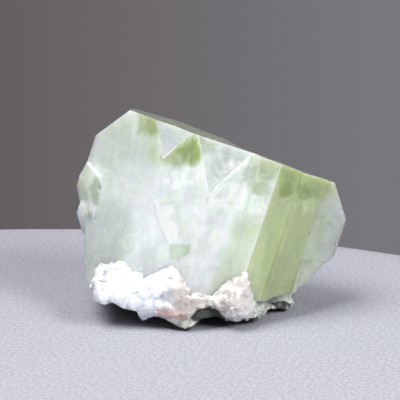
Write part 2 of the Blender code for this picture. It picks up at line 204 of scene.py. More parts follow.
def make_piece(name, points, triangles, node, material, sharp):
    """Make the mesh object of a worked piece in place of its CAD node, smooth below an angle."""
    mesh = bpy.data.meshes.new(name)
    mesh.from_pydata((points / MM).tolist(), [], triangles.tolist())
    mesh.update()
    mesh.shade_smooth()
    mesh.set_sharp_from_angle(angle=math.radians(sharp))
    piece = add_object(name, mesh)
    mesh.materials.append(material)
    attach(piece, "root")
    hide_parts(node)
    return piece


def set_values(mesh, domain, **values):
    for name, numbers in values.items():
        attribute = mesh.attributes.new(name, "FLOAT", domain)
        attribute.data.foreach_set("value", np.ascontiguousarray(numbers, dtype=np.float32))


def into(matrix, points):
    """Coordinates of points in the frame that a matrix describes."""
    inverse = np.array(matrix.inverted())
    return points @ inverse[:3, :3].T + inverse[:3, 3]


def turned_into(matrix, directions):
    inverse = np.array(matrix.inverted())
    return directions @ inverse[:3, :3].T


def picture_place(points):
    """Where points lie in the picture, in its pixels."""
    across, away, up = into(PICTURE, points).T
    nearness = CAMERA_DISTANCE / (CAMERA_DISTANCE + away) / PIXEL
    return np.stack([MIDDLE + across * nearness, MIDDLE - up * nearness], axis=1)


def inside(places, outline, soft):
    """1 inside an outline of picture places, fading to 0 over a soft rim."""
    outline = np.array(outline, float)
    best = np.full(len(places), 1e9)
    odd = np.zeros(len(places), bool)
    for start, end in zip(outline, np.roll(outline, -1, axis=0)):
        along = end - start
        share = np.clip(((places - start) @ along) / (along @ along), 0, 1)
        away = places - start - share[:, None] * along
        best = np.minimum(best, np.hypot(away[:, 0], away[:, 1]))
        crosses = (start[1] > places[:, 1]) != (end[1] > places[:, 1])
        height = np.where(crosses, along[1], 1.0)
        at = start[0] + (places[:, 1] - start[1]) * along[0] / height
        odd ^= crosses & (places[:, 0] < at)
    distance = np.where(odd, -best, best)
    return 1.0 - rise(distance, -soft, soft)


# Node helpers

class Nodes:
    """A short way to build the node tree of a material or a world."""

    def __init__(self, owner):
        self.owner = owner
        owner.use_nodes = True
        self.tree = owner.node_tree

    def add(self, kind, inputs=None, **settings):
        node = self.tree.nodes.new("ShaderNode" + kind)
        for key, value in settings.items():
            setattr(node, key, value)
        for key, value in (inputs or {}).items():
            self.put(node.inputs[key], value)
        return node

    def put(self, socket, value):
        if isinstance(value, bpy.types.NodeSocket):
            self.tree.links.new(value, socket)
        elif hasattr(value, "__len__") and len(value) == 3 and socket.type == "RGBA":
            socket.default_value = (*value, 1.0)
        else:
            socket.default_value = value

    def attribute(self, name):
        return self.add("Attribute", attribute_name=name).outputs["Fac"]

    def math(self, operation, a, b=0.0, c=0.0):
        return self.add("Math", {0: a, 1: b, 2: c}, operation=operation).outputs[0]

    def plus(self, a, b):
        return self.math("ADD", a, b)

    def times(self, a, b):
        return self.math("MULTIPLY", a, b)

    def step(self, value, low, high, to_low=0.0, to_high=1.0):
        """A smooth step from to_low at low to to_high at high."""
        return self.add("MapRange", {"Value": value, "From Min": low, "From Max": high,
                                     "To Min": to_low, "To Max": to_high},
                        interpolation_type="SMOOTHSTEP").outputs[0]

    def mix(self, share, a, b, blend="MIX"):
        return self.add("Mix", {0: share, 6: a, 7: b}, data_type="RGBA",
                        blend_type=blend).outputs[2]

    def swing(self, value, pattern, amount):
        """A value moved up and down by a pattern that runs from 0 to 1."""
        return self.plus(value, self.times(self.math("SUBTRACT", pattern, 0.5), amount))

    def ramp(self, value, stops):
        """Colour of a value between (position, colour) stops, the two ends first."""
        node = self.add("ValToRGB", {"Fac": value})
        elements = node.color_ramp.elements
        for number, (position, colour) in enumerate(stops):
            element = elements[number] if number < 2 else elements.new(position)
            element.position = position
            element.color = (*colour, 1)
        return node.outputs[0]

    def noise(self, place, scale, detail=3.0, roughness=0.5, distortion=0.0):
        return self.add("TexNoise", {"Vector": place, "Scale": scale, "Detail": detail,
                                     "Roughness": roughness,
                                     "Distortion": distortion}).outputs["Fac"]

    def frame_place(self, matrix):
        """Object coordinates turned into mm in the frame that a matrix describes."""
        inverse = matrix.inverted()
        turn = inverse.to_3x3().to_euler("XYZ")
        place = self.add("TexCoord").outputs["Object"]
        return self.add("Mapping", {"Vector": place, "Location": inverse.to_translation(),
                                    "Rotation": turn, "Scale": (MM, MM, MM)}).outputs[0]

    def bump(self, height, distance, strength=1.0, normal=None):
        node = self.add("Bump", {"Height": height, "Distance": distance, "Strength": strength})
        if normal is not None:
            self.put(node.inputs["Normal"], normal)
        return node.outputs[0]

    def finish(self, shader="Principled BSDF", **values):
        """Set a shader's sockets, with _ for the blanks in their names."""
        for name, value in values.items():
            self.put(self.tree.nodes[shader].inputs[name.replace("_", " ")], value)
        return self.owner


# Crystals

# The zigzag wall in plan of the crystal frame (mm), and the height that it is worn smooth below
WALL_PLAN = [(-45.0, 15.3, 3.0), (-11.4, -18.3, 3.0), (-5.8, -12.7, 17.0), (1.6, -20.1, -4.0),
             (8.7, -13.0, 13.0), (15.8, -20.1, 40.0), (20.9, -15.0, 40.0), (21.6, -15.7, 40.0),
             (45.0, 7.7, 40.0)]
WALL_REACH = 45.0

# The corner that stays sharp, as a distance across. Left and right of it the wall is averaged
# over half widths (mm) that set in above the foot, over a height, and keep clear of the corner.
SHARP_CORNER = 15.8
WEAR_LEFT = 4.8
WEAR_RIGHT = 1.1
WEAR_LEAST = 0.06
WEAR_CLEAR = 0.2
WEAR_FOOT = (-29.0, -23.0)
WEAR_RISE = 15.0
WALL_STEP = 0.05

# Points this near the zigzag (mm) and left of its end belong to the wall. This near one of its
# corners they are rounded.
WALL_DEPTH = 0.4
WALL_END = 26.0
CORNER_REACH = 2.5

# Corners where the colour changes, as a distance across, and how softly it does (mm)
CORNERS = {"first": (-11.4, 2.4), "valley_a": (-5.8, 1.8), "second": (1.6, 1.6),
           "valley_b": (8.7, 1.4), "strong": (15.8, 0.0), "step_a": (21.2, 0.0),
           "step_b": (28.3, 1.8), "step_c": (33.5, 1.4)}

# Heights in the crystal frame (mm) that "low down", "half way" and "high up" stand for
LEVELS = (-26.0, -6.0, 13.0)

# Green share and lightness of the wall right of each corner: high up, half way, low down
# The lightness is partly the crystals' own milkiness and partly painted light and shade against how
# the lamps light faces turned left and right
WALL = [
    (None, (0.24, 0.87), (0.14, 0.91), (0.14, 0.70)),
    ("first", (0.14, 0.92), (0.10, 0.90), (0.14, 0.75)),
    ("valley_a", (0.16, 0.90), (0.10, 1.00), (0.16, 0.75)),
    ("second", (0.12, 1.02), (0.09, 0.93), (0.12, 0.75)),
    ("valley_b", (0.36, 0.84), (0.20, 0.94), (0.30, 0.80)),
    ("strong", (0.74, 0.82), (0.70, 0.92), (0.72, 0.90)),
    ("step_a", (0.74, 0.82), (0.74, 0.75), (0.80, 0.66)),
    ("step_b", (0.50, 0.70), (0.38, 0.72), (0.36, 0.76)),
    ("step_c", (0.24, 0.62), (0.18, 0.60), (0.34, 0.50)),
]

# Marks inside the crystals that show through the wall: (green, light, soft rim, outline in
# picture pixels). Green and light are added.
MARKS = [
    # the green upper left corner and what trails below it
    (0.36, -0.13, 4.0, [(137, 112), (158, 114), (160, 136), (138, 134)]),
    (0.20, -0.02, 4.0, [(147, 112), (158, 114), (159, 134), (150, 138), (146, 128)]),
    (0.16, 0.06, 4.0, [(146, 136), (161, 138), (164, 156), (162, 176), (153, 172), (147, 156)]),
    (0.10, 0.00, 2.0, [(149, 145), (157, 146), (156, 160), (152, 164), (149, 156)]),
    (0.06, -0.04, 6.0, [(97, 122), (130, 120), (134, 150), (120, 170), (98, 165)]),
    (-0.04, 0.05, 3.0, [(133, 120), (138, 118), (137, 134), (133, 150), (130, 140)]),
    (0.03, -0.08, 7.0, [(80, 205), (116, 200), (130, 216), (132, 240), (122, 268), (84, 270)]),
    (-0.03, 0.04, 6.0, [(116, 160), (158, 168), (160, 200), (130, 204), (112, 190)]),
    (-0.05, 0.03, 5.0, [(132, 196), (158, 198), (160, 240), (136, 245), (130, 215)]),
    (0.06, -0.06, 2.5, [(141, 248), (156, 246), (158, 268), (150, 284), (142, 276)]),
    (0.05, 0.02, 2.0, [(96, 170), (112, 172), (128, 182), (118, 188), (104, 184)]),
    # the green between the two pyramid faces
    (0.42, -0.10, 4.0, [(196, 130), (202, 158), (194, 166), (178, 167), (166, 164), (160, 158)]),
    (0.32, 0.00, 2.6, [(196, 138), (200, 150), (200, 160), (189, 161), (183, 155), (178, 151)]),
    (0.10, -0.06, 2.5, [(180, 150), (199, 146), (200, 164), (186, 166)]),
    (-0.15, 0.10, 1.4, [(172.5, 172), (178, 171), (178, 184), (175, 190), (172, 190)]),
    (-0.15, 0.10, 0.8, [(163, 179), (169, 178), (170, 184), (164, 185)]),
    (-0.15, 0.12, 0.6, [(185, 180), (194, 181), (193, 184.5), (187, 184)]),
    (-0.15, 0.08, 0.8, [(195.5, 168), (200, 166), (200.5, 178), (196, 180)]),
    # the bright flake in the middle and what lies about it
    (-0.10, 0.26, 0.6, [(154, 201), (158, 199), (158, 203), (161, 206), (170, 205), (174, 204),
                        (175, 211), (170, 214), (167, 216), (172, 221), (176, 224), (178, 232),
                        (178, 242), (169.5, 243), (166, 236), (161, 224), (157, 213)]),
    (0.05, -0.07, 1.0, [(152.5, 203), (156, 205), (169, 243), (166, 243)]),
    (0.05, -0.06, 2.0, [(172, 200), (180, 202), (184, 232), (178, 242), (178, 228), (172, 216)]),
    (0.06, -0.01, 3.0, [(178, 200), (194, 202), (196, 238), (182, 242), (176, 218)]),
    (0.20, -0.06, 1.0, [(169, 244.5), (191, 244), (189, 254), (178, 262), (170, 258)]),
    (0.10, -0.04, 1.0, [(182, 246), (191, 246), (189, 256), (184, 258)]),
    (-0.02, 0.05, 0.7, [(197, 230), (199.5, 230), (196, 246), (193, 262), (190.5, 288), (188, 288),
                        (190, 262), (193, 245)]),
    (0.02, -0.08, 0.8, [(192, 214), (196, 213), (202, 224), (201, 228), (197, 224)]),
    (-0.06, 0.10, 0.7, [(192, 207), (199, 206), (199, 213), (193, 214)]),
    (0.02, -0.05, 3.0, [(188, 182), (200, 186), (198, 200), (186, 204), (166, 200), (164, 192)]),
    # inside the broad middle crystal
    (0.26, -0.03, 3.0, [(199, 138), (216, 142), (214, 152), (200, 155)]),
    (0.00, -0.05, 2.0, [(222, 148), (240, 152), (244, 160), (222, 160)]),
    (-0.08, 0.08, 1.2, [(221, 163), (230, 161), (243, 170), (236, 175), (222, 173)]),
    (0.05, -0.13, 1.6, [(243, 167), (258, 166), (257, 184), (250, 188), (232, 182), (222, 184),
                        (214, 190), (228, 178)]),
    (0.00, -0.06, 1.0, [(213, 189), (222, 186), (228, 190), (226, 197), (214, 196)]),
    (-0.08, 0.12, 1.4, [(232, 186), (246, 182), (248, 200), (243, 211), (218, 207), (211, 199),
                        (228, 198)]),
    (0.00, -0.06, 2.0, [(206, 210), (230, 210), (224, 226), (206, 226)]),
    (-0.03, 0.04, 3.0, [(216, 216), (233, 218), (230, 242), (214, 250)]),
    (-0.03, 0.02, 3.0, [(192, 246), (218, 244), (212, 286), (194, 288)]),
    (0.16, -0.02, 4.5, [(236, 222), (262, 224), (250, 262), (236, 296), (208, 296), (222, 262)]),
    (0.14, -0.10, 1.6, [(260, 157), (281, 164), (277, 178), (264, 180), (259, 176)]),
    (0.12, -0.08, 2.0, [(252, 185), (266, 180), (270, 190), (262, 196), (253, 194)]),
    (-0.08, 0.11, 1.5, [(252, 195), (262, 195), (268, 208), (262, 217), (247, 212)]),
    # the green crystals on the right
    (0.14, -0.06, 2.0, [(281, 164), (303, 172), (299, 186), (294, 196), (283, 198), (276, 194)]),
    (0.18, -0.08, 1.6, [(281, 182), (290, 181), (293, 188), (291, 196), (279, 196)]),
    (0.12, -0.08, 2.0, [(299, 174), (330, 181), (330, 192), (318, 198), (300, 202), (297, 200)]),
    (0.10, -0.08, 1.6, [(299, 185), (307, 185), (310, 196), (300, 200), (297, 198)]),
    (-0.10, 0.10, 1.0, [(302, 201), (307, 199), (308, 211), (304, 214)]),
    (-0.06, 0.05, 1.5, [(306, 196), (314, 195), (316, 212), (309, 214)]),
    (-0.20, -0.02, 5.0, [(322, 206), (335, 192), (344, 214), (318, 216)]),
    (0.06, -0.04, 3.0, [(270, 230), (283, 236), (268, 290), (256, 296), (262, 262)]),
    (0.03, 0.05, 1.5, [(262, 240), (266, 246), (256, 290), (252, 296)]),
    (-0.05, -0.02, 2.0, [(331, 232), (334, 234), (331, 246), (329, 244)]),
]

# Where tiny cracks glint: (amount, soft rim, outline in picture pixels)
GLINTS = [
    (1.0, 2.0, [(162, 168), (201, 162), (202, 186), (164, 188)]),
    (0.9, 2.0, [(250, 176), (278, 172), (264, 216), (246, 212)]),
    (0.9, 2.0, [(284, 176), (300, 178), (296, 206), (284, 208)]),
    (0.8, 3.0, [(216, 158), (246, 160), (248, 212), (212, 206)]),
    (0.6, 3.0, [(98, 120), (134, 124), (140, 182), (100, 180)]),
    (0.5, 3.0, [(186, 200), (206, 200), (204, 232), (190, 232)]),
    (0.6, 3.0, [(300, 184), (330, 186), (324, 214), (300, 212)]),
    (0.5, 3.0, [(90, 222), (160, 224), (158, 282), (94, 270)]),
]

# Painted light of the crystal edges where it isn't plain, highlight above 0 and shade below:
# (amount, outline in picture pixels)
EDGE_PAINTED_LIGHT = [
    (0.8, [(272, 178), (284, 160), (284, 168), (266, 222), (258, 222)]),
    (-0.2, [(258, 222), (266, 222), (248, 290), (240, 290)]),
    (-0.8, [(199, 150), (203, 150), (213, 192), (206, 194)]),
    (0.8, [(160, 156), (195, 134), (198, 138), (166, 164)]),
    (-0.35, [(207, 185), (250, 151), (257, 157), (214, 197)]),
    (0.1, [(154, 112), (285, 158), (285, 166), (196, 141), (155, 124)]),
]
# Painted shade that dims all other edges a little
PLAIN_EDGE_SHADE = -0.15

# Colours of the parts that the wall's levels don't give: green share and lightness
# The pyramid faces' lightness is painted shade against the lamp light they catch; the top's is a
# painted reflection of the dim backdrop
PYRAMID_GREEN = 0.15
PYRAMID_PAINTED_SHADE = (0.57, 0.60)
PYRAMID_PARTING = -4.0
TOP_GREEN = 0.48
TOP_PAINTED_SHADE = 0.43
BACK_GREEN = 0.18
BACK_LIGHT = 0.88
BACK_HEIGHTS = (-2.0, 16.0)
BACK_ACROSS = (5.0, 28.0)
SMALL_GREEN = 0.34
SMALL_LIGHT = 0.57

# The triangles (mm): on the back, on the front, and in marks with a rim sharper than a width
LONGEST = 1.2
FRONT_LONGEST = 0.72
MARK_LONGEST = 0.42
SHARP_RIM = 1.7

# The small crystals at the left edge, in picture pixels
SMALL_CRYSTALS = [(70, 172), (80, 160), (87, 164), (100, 181), (101, 194), (97, 208), (72, 222)]
SMALL_LOWER = [(70, 198), (92, 202), (100, 210), (100, 226), (70, 226)]

# Where they sink into the wall, more and more from left to right
SINK = [(92, 150), (114, 168), (114, 232), (90, 232)]
SINK_RAMP = (91.0, 103.0)

# Where the outer edges are ragged, in picture pixels
RAGGED = [
    [(70, 216), (98, 220), (99, 284), (78, 290)],
    [(300, 268), (330, 244), (350, 226), (350, 256), (312, 290)],
]

# A place on the face that the right-hand plates lie on, in plan of the crystal frame
PLATE_FOOT = (21.6, -15.7)

# Height (mm) that the top's ledges are worn down to, at places across the crystal frame
TOP_ACROSS = (-11.4, -5.0, 9.8, 15.7, 21.6, 30.0)
TOP_HEIGHT = (16.3, 15.95, 15.9, 15.8, 15.3, 15.2)


def shape_wall(place, pixel):
    """Points of the crystals moved to their worn shape, and how far each corner is rounded."""
    across, away, up = place.T
    moved = place.copy()

    # The zigzag of the wall is averaged over a width, none at the sharp corner
    x, y, start = np.array(WALL_PLAN).T
    grid = np.arange(-WALL_REACH, WALL_REACH, WALL_STEP)
    total = np.append(0.0, np.cumsum(np.interp(grid, x, y)) * WALL_STEP)
    steps = np.append(grid, WALL_REACH) - WALL_STEP / 2
    width = rise(np.interp(across, x, start) - up, 0.0, WEAR_RISE) * rise(up, *WEAR_FOOT)
    width = np.where(across < SHARP_CORNER, WEAR_LEFT * width, WEAR_RIGHT)
    width = np.clip(np.minimum(width, np.abs(across - SHARP_CORNER) - WEAR_CLEAR),
                    WEAR_LEAST, WEAR_LEFT)
    even = np.interp(across + width, steps, total) - np.interp(across - width, steps, total)
    even = even / (2 * width)
    exact = np.interp(across, x, y)
    wall = (np.abs(away - exact) < WALL_DEPTH) & (across < WALL_END)
    moved[:, 1] += (even - exact) * wall
    near = np.abs(across[:, None] - x[None, 1:8]).min(axis=1) < CORNER_REACH
    rounded = width * wall * near

    # The small crystals at the left edge sink into the wall to the right of their front edges
    sink = inside(pixel, SINK, 0.5) * rise(pixel[:, 0], *SINK_RAMP)
    proud_left = (away < exact) * (across < -12.0) * (away > exact - 8.0)
    moved[:, 1] += (exact - 0.04 - away) * sink * proud_left

    # The thin outermost plates on the right fade into the face behind them towards their tops
    proud = ((across - PLATE_FOOT[0]) - (away - PLATE_FOOT[1])) / math.sqrt(2.0)
    plate = (across > 27.0) & (proud > 0.0) & (proud < 3.0) & (away < 2.0)
    fade = proud * plate * rise(up, -13.0, -3.0) / math.sqrt(2.0)
    moved[:, 0] -= fade
    moved[:, 1] += fade

    # The top is worn down to one even height, which falls a little towards the back right
    cap = np.interp(across, TOP_ACROSS, TOP_HEIGHT)
    cap -= 0.07 * np.maximum(away + 12.0, 0.0) * rise(across, -2.0, 13.0)
    moved[:, 2] = np.minimum(up, cap)
    return moved, rounded


def paint_crystals(points, triangles, normals):
    """Green share and lightness at triangle corners, and glint and painted edge light at points."""
    flat = triangles.reshape(-1)
    place = into(CRYSTAL, points)
    cloud = noise_at(place, 9.0, seed=1.0, stretch=(1, 1, 1.8))
    patch = noise_at(place, 3.2, seed=2.0, stretch=(1, 1, 1.6))
    fray = noise_at(place, 1.1, seed=8.0)
    height = place[:, 2] + 3.0 * cloud + 1.2 * patch
    pixel = picture_place(points)
    wander = np.stack([patch, noise_at(place, 3.0, seed=5.0)], axis=1)
    wander += 0.6 * np.stack([fray, noise_at(place, 1.0, seed=9.0)], axis=1)
    across = (place[:, 0] + 0.9 * cloud + 0.5 * patch)[flat]
    turned = np.repeat(turned_into(CRYSTAL, normals), 3, axis=0)
    centre = np.repeat(into(CRYSTAL, points[triangles].mean(axis=1))[:, 0], 3)

    # The wall, from corner to corner
    green = np.zeros(len(flat))
    light = np.zeros(len(flat))
    levels = height[flat]
    for corner, top, middle, foot in WALL:
        share = np.ones(len(flat))
        if corner:
            x, soft = CORNERS[corner]
            share = rise(across, x - soft, x + soft) if soft else (centre >= x).astype(float)
        green += share * (np.interp(levels, LEVELS, (foot[0], middle[0], top[0])) - green)
        light += share * (np.interp(levels, LEVELS, (foot[1], middle[1], top[1])) - light)

    # The back
    front = rise(-(place[:, 1] + 1.5 * cloud), -5.0, 0.0)[flat]
    high = rise(height, *BACK_HEIGHTS)
    back_green = BACK_GREEN + 0.45 * high + 0.25 * rise(place[:, 0], *BACK_ACROSS) + 0.18 * cloud
    back_light = BACK_LIGHT - 0.14 * high
    green = back_green[flat] + (green - back_green[flat]) * front
    light = back_light[flat] + (light - back_light[flat]) * front

    # The pyramid faces and the top: painted shade on the pyramid faces, and a painted reflection
    # that darkens the top
    pyramid = (turned[:, 2] > 0.3) & (turned[:, 2] < 0.8) & (turned[:, 1] < -0.6)
    green[pyramid] = PYRAMID_GREEN
    light[pyramid] = np.where(centre[pyramid] < PYRAMID_PARTING, *PYRAMID_PAINTED_SHADE)
    top = turned[:, 2] > 0.9
    green[top] = TOP_GREEN + 0.20 * cloud[flat][top]
    light[top] = TOP_PAINTED_SHADE + 0.03 * fray[flat][top]

    # The marks
    facing = np.repeat(turned_into(PICTURE, normals)[:, 1], 3) < -0.15
    seen = (facing & (place[:, 1][flat] < 4.0) & ~top).astype(float)
    seen *= 1.0 + 0.35 * patch[flat] + 0.15 * fray[flat]
    for more_green, more_light, soft, outline in MARKS:
        amount = inside(pixel + min(soft, 2.0) * wander, outline, soft)[flat] * seen
        if more_green > 0.3:
            amount[pyramid] = 0.0
        green += more_green * amount
        light += more_light * amount

    # The small crystals at the left edge: painted shade where they face up and painted light where
    # they face left, against how the lamps light them, and lighter further down
    small = inside(pixel, SMALL_CRYSTALS, 1.5)[flat] * (place[:, 1][flat] < 6.0)
    counter_shading = np.repeat(1.4 * normals[:, 2].clip(0.0) + 1.3 * normals[:, 0].clip(-1.0, 0.0), 3)
    lower = inside(pixel, SMALL_LOWER, 1.5)[flat]
    green += small * (SMALL_GREEN - 0.26 * lower - green)
    turn = 0.12 * rise(pixel[:, 0], 93.0, 98.0)[flat]
    light += small * (SMALL_LIGHT - 0.26 * counter_shading + turn + 0.20 * lower - light)
    green += 0.05 * cloud[flat]
    light += 0.03 * cloud[flat] + 0.02 * patch[flat]

    glint = np.zeros(len(points))
    for amount, soft, outline in GLINTS:
        glint = np.maximum(glint, amount * inside(pixel + wander, outline, soft))
    # Painted light along the edges: a highlight where it is high, shade where it is low
    tone = np.full(len(points), PLAIN_EDGE_SHADE)
    for amount, outline in EDGE_PAINTED_LIGHT:
        tone += amount * inside(pixel, outline, 0.5)
    return np.clip(green, 0, 1), np.clip(light, 0.1, 1.3), glint, tone


# Colour of the crystals by their green share, the two ends first
GREEN_RAMP = [(0.0, (0.95, 0.97, 0.975)), (1.0, (0.63, 0.78, 0.33)), (0.09, (0.89, 0.94, 0.96)),
              (0.3, (0.82, 0.905, 0.82)), (0.65, (0.77, 0.86, 0.56))]

# Colours of painted highlights and painted shade on edges, of painted glints on cracks and dots,
# and of dark cracks and dots
EDGE_HIGHLIGHT = (0.95, 1.0, 0.90)
EDGE_SHADE = (0.42, 0.52, 0.45)
CRACK_GLINT = (1.0, 1.0, 0.98)
CRACK_DARK = (0.40, 0.50, 0.42)
DOT_DARK = (0.35, 0.45, 0.36)


def crystal_material():
    """Clear to milky green crystal with veils, flakes and fine cracks inside, painted highlights
    and shade along its edges, and painted glints on cracks and dots.
    """
    nodes = Nodes(bpy.data.materials.new("apophyllite_crystal"))
    place = nodes.frame_place(CRYSTAL)
    squeeze = nodes.add("Mapping", {"Vector": place, "Scale": (1.0, 1.0, 0.12)}).outputs[0]
    green, light, edge, broken, glint, tone = (nodes.attribute(name) for name in (
        "green", "light", "edge", "broken", "glint", "tone"))

    # Patterns
    haze = nodes.noise(place, 0.16, 4.0, 0.55)
    veil = nodes.noise(place, 0.40, 5.0, 0.62, 0.8)
    grain = nodes.noise(place, 2.2, 3.0, 0.6)
    streak = nodes.noise(squeeze, 1.4, 3.0, 0.55)
    fine_streak = nodes.noise(squeeze, 5.0, 2.0, 0.5)
    bends = nodes.add("TexNoise", {"Vector": place, "Scale": 0.3, "Detail": 2.0}).outputs["Color"]
    bent = nodes.add("VectorMath", {0: bends, 1: (5.0, 5.0, 5.0), 2: place},
                     operation="MULTIPLY_ADD").outputs[0]
    flakes = nodes.add("TexVoronoi", {"Vector": bent, "Scale": 0.22}).outputs["Color"]
    splinters = nodes.add("TexVoronoi", {"Vector": bent, "Scale": 0.62}).outputs["Color"]
    cracks = nodes.add("TexVoronoi", {"Vector": bent, "Scale": 0.34},
                       feature="DISTANCE_TO_EDGE").outputs["Distance"]
    flake = nodes.add("SeparateColor", {"Color": flakes}).outputs[0]
    splinter = nodes.add("SeparateColor", {"Color": splinters}).outputs[1]

    # Green share and lightness
    for pattern, amount in ((haze, 0.20), (streak, 0.10), (flake, 0.06)):
        green = nodes.swing(green, pattern, amount)
    tint = nodes.ramp(green, GREEN_RAMP)
    shade = nodes.swing(light, veil, nodes.math("MULTIPLY_ADD", glint, 0.14, 0.25))
    for pattern, amount in ((flake, 0.08), (splinter, 0.05), (grain, 0.07)):
        shade = nodes.swing(shade, pattern, amount)
    shade = nodes.math("MINIMUM", shade, 1.03)
    grey = nodes.add("CombineColor", {"Red": shade, "Green": shade, "Blue": shade}).outputs[0]
    colour = nodes.mix(1.0, tint, grey, "MULTIPLY")

    # Edges: painted highlights and painted shade along them
    near = nodes.step(edge, 0.30, 0.04)
    bright = nodes.times(near, nodes.step(nodes.plus(tone, nodes.times(grain, 0.5)), 0.55, 0.95))
    colour = nodes.mix(nodes.times(bright, 0.8), colour, EDGE_HIGHLIGHT)
    dim = nodes.times(near, nodes.step(tone, -0.1, -0.6))
    colour = nodes.mix(nodes.times(dim, 0.5), colour, EDGE_SHADE)

    # Cracks, painted bright as glints in the veils and with a dark line beside them in the haze
    thin = nodes.times(nodes.step(cracks, 0.05, 0.015), nodes.step(veil, 0.50, 0.58))
    colour = nodes.mix(nodes.times(nodes.times(thin, glint), 0.4), colour, CRACK_GLINT)
    beside = nodes.math("ABSOLUTE", nodes.math("SUBTRACT", cracks, 0.10))
    thin = nodes.times(nodes.step(beside, 0.035, 0.01), nodes.step(haze, 0.54, 0.60))
    colour = nodes.mix(nodes.times(nodes.times(thin, glint), 0.4), colour, CRACK_DARK)

    # Bright dots painted as glints, and dark dots
    dots = nodes.add("TexVoronoi", {"Vector": place, "Scale": 0.95})
    dot = nodes.times(nodes.step(dots.outputs["Distance"], 0.26, 0.16), glint)
    pick = nodes.add("SeparateColor", {"Color": dots.outputs["Color"]}).outputs
    lit = nodes.times(dot, nodes.step(pick[0], 0.78, 0.86))
    dark = nodes.times(dot, nodes.step(pick[1], 0.88, 0.93))
    colour = nodes.mix(nodes.times(lit, 0.85), colour, CRACK_GLINT)
    colour = nodes.mix(nodes.times(dark, 0.45), colour, DOT_DARK)

    # Surface
    lines = nodes.plus(nodes.times(streak, 0.7), nodes.times(fine_streak, 0.3))
    coarse = nodes.plus(0.15, nodes.times(broken, 1.5))
    height = nodes.plus(lines, nodes.times(grain, coarse))
    soft_edges = nodes.add("Bevel", {"Radius": 0.00013}, samples=4).outputs[0]
    normal = nodes.bump(height, 0.00006, 0.5, soft_edges)
    rough = nodes.plus(0.16, nodes.times(broken, 0.22))
    rough = nodes.plus(rough, nodes.times(veil, 0.12))
    clear = nodes.step(green, 0.0, 0.9, 0.26, 0.46)
    absorption = nodes.add("VolumeAbsorption", {"Color": (0.72, 0.88, 0.60), "Density": 26.0})
    nodes.finish("Material Output", Volume=absorption.outputs[0])
    return nodes.finish(Base_Color=colour, Roughness=rough, Normal=normal,
                        Transmission_Weight=clear, IOR=1.535, Subsurface_Weight=1.0,
                        Subsurface_Radius=(0.9, 1.0, 0.75), Subsurface_Scale=0.006)


def in_front(points, triangles):
    """Which triangles of the crystals the picture may show."""
    facing = turned_into(PICTURE, face_normals(points, triangles))[:, 1] < -0.1
    return facing & (into(CRYSTAL, points[triangles].mean(axis=1))[:, 1] < 4.0)


def build_crystals():
    """The mass of crystals: its wall worn, its colours painted, its broken faces roughened."""
    coarse, coarse_triangles = read_node("apophyllite_crystals")
    points, triangles = refine(coarse, coarse_triangles, LONGEST,
                               in_front(coarse, coarse_triangles), FRONT_LONGEST)
    pixel = picture_place(points[triangles].mean(axis=1))
    sharp = np.zeros(len(triangles), bool)
    for _, _, soft, outline in MARKS:
        if soft < SHARP_RIM:
            sharp |= inside(pixel, outline, 2.5) > 0.05
    points, triangles = refine(points, triangles, LONGEST,
                               sharp & in_front(points, triangles), MARK_LONGEST)
    edge = edge_distance(coarse, coarse_triangles, points, angle=22.0)
    normals = face_normals(points, triangles)
    place = into(CRYSTAL, points)

    # A face belongs to a crystal plane if it lies along one of the crystal's own directions
    turned = turned_into(CRYSTAL, normals)
    planes = [(0, 0, 1), (1, -1, 0), (-1, -1, 0), (1, 1, 0), (-1, 1, 0)]
    even = np.zeros(len(normals))
    for plane in planes:
        direction = np.array(plane) / np.linalg.norm(plane)
        even = np.maximum(even, turned @ direction)
    slanting = (turned[:, 2] > 0.35) & (turned[:, 2] < 0.75)
    slanting &= np.abs(turned[:, :2]).min(axis=1) < 0.05
    rough_face = ((even < 0.9995) & ~slanting).astype(float)
    broken = np.zeros(len(points))
    for i in range(3):
        np.maximum.at(broken, triangles[:, i], rough_face)

    green, light, glint, tone = paint_crystals(points, triangles, normals)

    # A rounded corner counts as far from any edge
    pixel = picture_place(points)
    shaped, rounded = shape_wall(place, pixel)
    edge = np.where(rounded > 0.5, EDGE_REACH, edge)
    matrix = np.array(CRYSTAL)
    points = shaped @ matrix[:3, :3].T + matrix[:3, 3]
    outward = point_normals(points, triangles)

    # Broken faces are rough, crystal faces have fine lines along them, and edges are nibbled
    relief = 0.22 * noise_at(points, 1.5, seed=3.0) + 0.12 * noise_at(points, 0.7, seed=4.0)
    points = points + outward * (relief * broken * rise(edge, 0.0, 0.6))[:, None]
    lines = noise_at(place, 0.9, seed=6.0, stretch=(1, 1, 14.0)) * 0.035
    points = points + outward * (lines * (1 - broken) * rise(edge, 0.0, 1.0))[:, None]
    nibble = rise(noise_at(place, 1.1, seed=7.0), 0.25, 0.6) * (1 - rise(edge, 0.0, 0.7)) * 0.12
    for outline in RAGGED:
        nibble = nibble * (1 + 4 * inside(pixel, outline, 2.0))
    points = points - outward * (nibble * (1 - broken))[:, None]

    piece = make_piece("crystals", points, triangles, "apophyllite_crystals",
                       crystal_material(), sharp=28.0)
    set_values(piece.data, "CORNER", green=green, light=light)
    set_values(piece.data, "POINT", edge=edge, broken=broken, glint=glint, tone=tone)


# Stilbite and basalt

